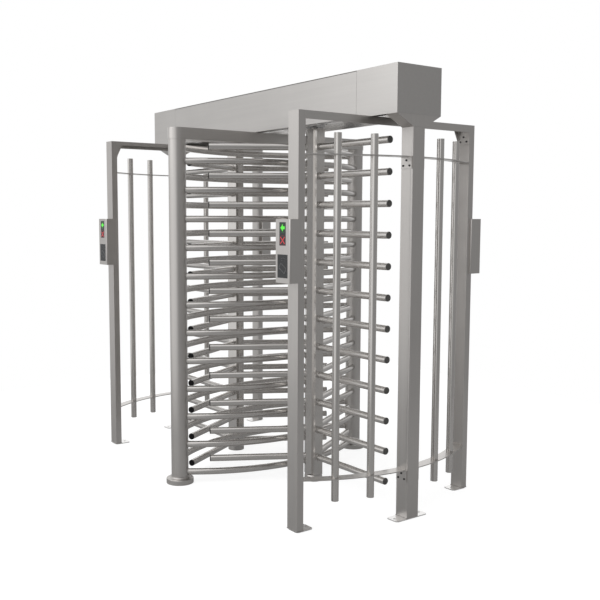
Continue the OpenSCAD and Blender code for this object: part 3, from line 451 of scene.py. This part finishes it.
def fit_piece(name, bm, material, body):
    """Turns a drawn shape into a piece that moves with a body."""
    mesh = bpy.data.meshes.new(name)
    bm.to_mesh(mesh)
    bm.free()
    piece = bpy.data.objects.new(name, mesh)
    scene.collection.objects.link(piece)
    mesh.materials.append(material)
    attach(piece, body)


def lamp_finish(name, colour):
    """A small lamp of clear plastic, lit evenly."""
    material = bpy.data.materials.new(name)
    material.use_nodes = True
    shader = material.node_tree.nodes["Principled BSDF"]
    shader.inputs["Base Color"].default_value = (*[c * 0.3 for c in colour], 1)
    shader.inputs["Roughness"].default_value = 0.3
    shader.inputs["Emission Color"].default_value = (*colour, 1)
    shader.inputs["Emission Strength"].default_value = 1.0
    return material


def lamp_dome(bm, x, y, z, radius):
    """The low dome of one lamp, facing out of the window."""
    dome = bmesh.ops.create_uvsphere(bm, u_segments=8, v_segments=5, radius=radius)
    bmesh.ops.scale(bm, verts=dome["verts"], vec=(1, 0.4, 1))
    bmesh.ops.translate(bm, verts=dome["verts"], vec=(x, y, z))


arrow_dots = [(-3, 0)] + [(-2, n) for n in (-1, 0, 1)] + [(-1, n) for n in range(-2, 3)]
arrow_dots += [(0, n) for n in range(-3, 4)] + [(m, n) for m in (1, 2, 3) for n in (-1, 0, 1)]
cross_dots = [(n, n) for n in range(-3, 4)] + [(n, -n) for n in (-3, -2, -1, 1, 2, 3)]
lamp_pitch = 0.0047
lit_lamp_r = 0.0027
dim_lamp_r = 0.0013
ring_r = 0.0232
ring_lamp_count = 28
window_x = 1.0055
lamp_y = 0.6767
signs = (
    ("green", arrow_dots, 1.5035, (0.11, 0.85, 0.06), (0.03, 0.20, 0.06)),
    ("red", cross_dots, 1.4435, (0.80, 0.045, 0.06), (0.28, 0.02, 0.03)),
)
for colour, dots, z, lit_colour, dim_colour in signs:
    lit = lamp_finish(colour + "_lamp_lit", lit_colour)
    dim = lamp_finish(colour + "_lamp_dim", dim_colour)
    sign = bmesh.new()
    ring = bmesh.new()
    for out in (-1, 1):
        for side in (-1, 1):
            for across, up in dots:
                x = side * window_x - out * across * lamp_pitch
                lamp_dome(sign, x, out * lamp_y, z + up * lamp_pitch, lit_lamp_r)
            for n in range(ring_lamp_count):
                turn = math.tau * n / ring_lamp_count
                x = side * window_x + ring_r * math.cos(turn)
                lamp_dome(ring, x, out * lamp_y, z + ring_r * math.sin(turn), dim_lamp_r)
    fit_piece(colour + "_sign_lamps", sign, lit, "frame")
    fit_piece(colour + "_sign_ring_lamps", ring, dim, "frame")

# Reader symbols
# A card below two arcs, printed in pale grey on each reader window. It is a plain drawing that
# stands for the mark in the photograph.


def printed_line(bm, points, width, outward):
    """A flat band through points of the window's plane, with its face to the outside."""
    for start, end in zip(points, points[1:]):
        along = (end - start).normalized()
        turn = Matrix((along, outward.cross(along), outward)).transposed().to_4x4()
        band = Matrix.Diagonal(((end - start).length + width, width, 1, 1))
        place = Matrix.Translation((start + end) / 2) @ turn @ band
        bmesh.ops.create_grid(bm, x_segments=1, y_segments=1, size=0.5, matrix=place)


def arc_points(x, z, radius, start, end):
    """Points of an arc in the window's plane, between two angles in degrees."""
    steps = 10
    turns = [math.radians(start + (end - start) * n / steps) for n in range(steps + 1)]
    return [(x + radius * math.cos(t), z + radius * math.sin(t)) for t in turns]


card_turn = math.radians(-32)
card_drop = 0.012
card_left, card_right, card_half_h = -0.026, 0.024, 0.014
card_corners = (
    (card_left, -card_half_h), (card_right, -card_half_h),
    (card_right, card_half_h), (card_left, card_half_h), (card_left, -card_half_h),
)
card_outline = []
for u, v in card_corners:
    card_outline.append((
        u * math.cos(card_turn) - v * math.sin(card_turn),
        u * math.sin(card_turn) + v * math.cos(card_turn) - card_drop,
    ))
arc_x, arc_z = 0.004, 0.008
near_arc = arc_points(arc_x, arc_z, radius=0.020, start=55, end=125)
far_arc = arc_points(arc_x, arc_z, radius=0.030, start=58, end=122)
symbol_z = 1.322
symbol_y = 0.67655
line_w = 0.0018
symbol = bmesh.new()
for out in (-1, 1):
    for side in (-1, 1):
        for line in (card_outline, near_arc, far_arc):
            placed = [
                Vector((side * window_x - out * x, out * symbol_y, symbol_z + z)) for x, z in line
            ]
            printed_line(symbol, placed, line_w, Vector((0, out, 0)))
print_grey = moulded_finish("pale_grey_print", (0.19, 0.19, 0.195), 0.5, relief=0.02)
fit_piece("reader_symbols", symbol, print_grey, "frame")

# Weld beads
# Narrow beads of stainless filler where bars, posts and plates were joined and then dressed. The
# beads of the wing bars turn with their rotor.


def bead_ring(bm, centre, direction, radius, thickness, steps):
    """A closed bead round a bar that leaves centre in the given direction."""
    axis = Vector(direction).normalized()
    side_way = axis.orthogonal().normalized()
    place = Matrix.Translation(Vector(centre) + side_way * radius)
    turn = Matrix((side_way, axis, side_way.cross(axis))).transposed().to_4x4()
    loop = bmesh.ops.create_circle(bm, segments=6, radius=thickness, matrix=place @ turn)
    edges = list({edge for vert in loop["verts"] for edge in vert.link_edges})
    bmesh.ops.spin(
        bm, geom=loop["verts"] + edges, cent=centre, axis=axis, dvec=(0, 0, 0),
        angle=math.tau, steps=steps, use_merge=True
    )


def bead_run(bm, points, thickness):
    """A bead along a chain of straight seams."""
    for start, end in zip(points, points[1:]):
        start, end = Vector(start), Vector(end)
        along = end - start
        turn = along.to_track_quat("Z", "Y").to_matrix().to_4x4()
        bmesh.ops.create_cone(
            bm, cap_ends=True, segments=6, radius1=thickness, radius2=thickness,
            depth=along.length, matrix=Matrix.Translation((start + end) / 2) @ turn
        )


weld_steel = steel_finish(
    "weld_bead_steel", (0.50, 0.485, 0.47), (120, 120, 120), 0.42, shade=0.5
)
bar_pitch = 0.1645
bar_rows = 12
bar_heights = [bar_pitch * n for n in range(bar_rows)]
low_bar_z = 0.064
high_bar_z = 0.145
weld_r = 0.0195
thin_bead = 0.0024
thick_bead = 0.0028
rotor_x = 0.414
rotor_face = 0.0505
for side_name, side, lowest in (("right", 1, high_bar_z), ("left", -1, low_bar_z)):
    beads = bmesh.new()
    for wing in range(3):
        turn = math.radians(120 * wing)
        outward = (side * math.cos(turn), math.sin(turn), 0)
        for rise in bar_heights:
            root = (
                side * rotor_x + outward[0] * rotor_face, outward[1] * rotor_face, lowest + rise
            )
            bead_ring(beads, root, outward, weld_r, thin_bead, steps=18)
    bmesh.ops.recalc_face_normals(beads, faces=beads.faces)
    fit_piece("wing_welds_" + side_name, beads, weld_steel, "rotor_" + side_name)

comb_column_y = 0.674
comb_column_face = 0.0485
bar_leaves_x = 0.634
bar_leaves_y = 0.773
beads = bmesh.new()
for side, lowest in ((1, low_bar_z), (-1, high_bar_z)):
    for end in (-1, 1):
        inward = Vector((side * bar_leaves_x, -end * bar_leaves_y, 0))
        for rise in bar_heights:
            root = Vector((0, end * comb_column_y, lowest + rise)) + inward * comb_column_face
            bead_ring(beads, root, inward, weld_r, thick_bead, steps=14)
bmesh.ops.recalc_face_normals(beads, faces=beads.faces)
fit_piece("comb_welds", beads, weld_steel, "frame")

foot_weld_z = 0.0062
end_inner_x, end_outer_x, end_half_y = 1.1495, 1.2275, 0.0405
foot_seams = [[
    (end_outer_x, -end_half_y), (end_inner_x, -end_half_y),
    (end_inner_x, end_half_y), (end_outer_x, end_half_y),
]]
inner_x, outer_x = 0.9705, 1.0515
corner_y, corner_half_y = 0.5975, 0.0205
for y in (-corner_y, corner_y):
    near, far = y - corner_half_y, y + corner_half_y
    foot_seams.append(
        [(inner_x, near), (outer_x, near), (outer_x, far), (inner_x, far), (inner_x, near)]
    )
beads = bmesh.new()
for seam in foot_seams:
    for side in (-1, 1):
        bead_run(beads, [(side * x, y, foot_weld_z) for x, y in seam], thin_bead)
bmesh.ops.recalc_face_normals(beads, faces=beads.faces)
fit_piece("foot_welds", beads, weld_steel, "frame")
